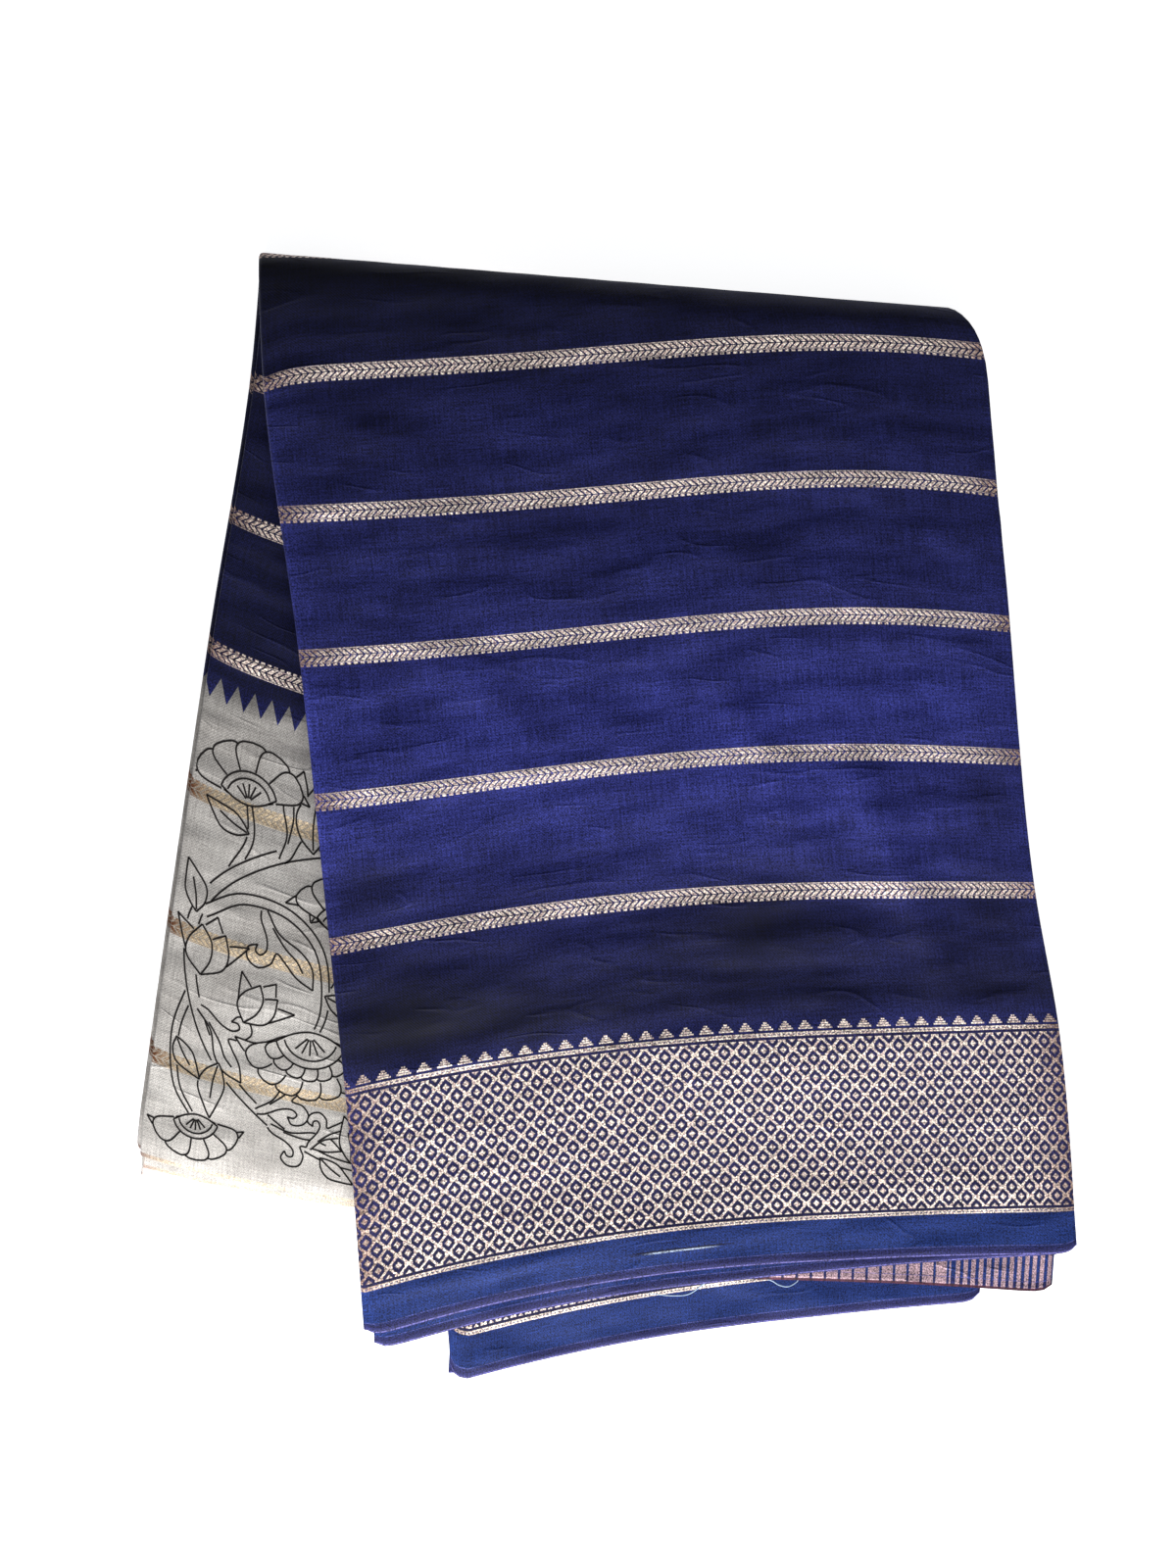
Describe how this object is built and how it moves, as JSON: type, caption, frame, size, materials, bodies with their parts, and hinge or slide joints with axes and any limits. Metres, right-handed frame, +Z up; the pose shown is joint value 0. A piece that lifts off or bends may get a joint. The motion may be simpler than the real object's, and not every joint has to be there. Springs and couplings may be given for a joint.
{
  "type": "folded sari",
  "caption": "Folded sari: navy cloth with gold stripes and a brocade border, folded back and forth, then in half, with a printed cream half fanned out.",
  "frame": {"origin": "middle of the bottom of the pile's bounding box, on the surface that it lies on", "axes": "+Z up through the pile, +Y towards the fold line at its top, +X along the front hem towards its right fold"},
  "size_m": [0.5286, 0.617, 0.0372],
  "materials": {
    "sari_cloth": "soft satin silk and cotton weave with gold thread"
  },
  "bodies": {
    "root": {"sari": "sari_cloth"}
  },
  "joints": []
}
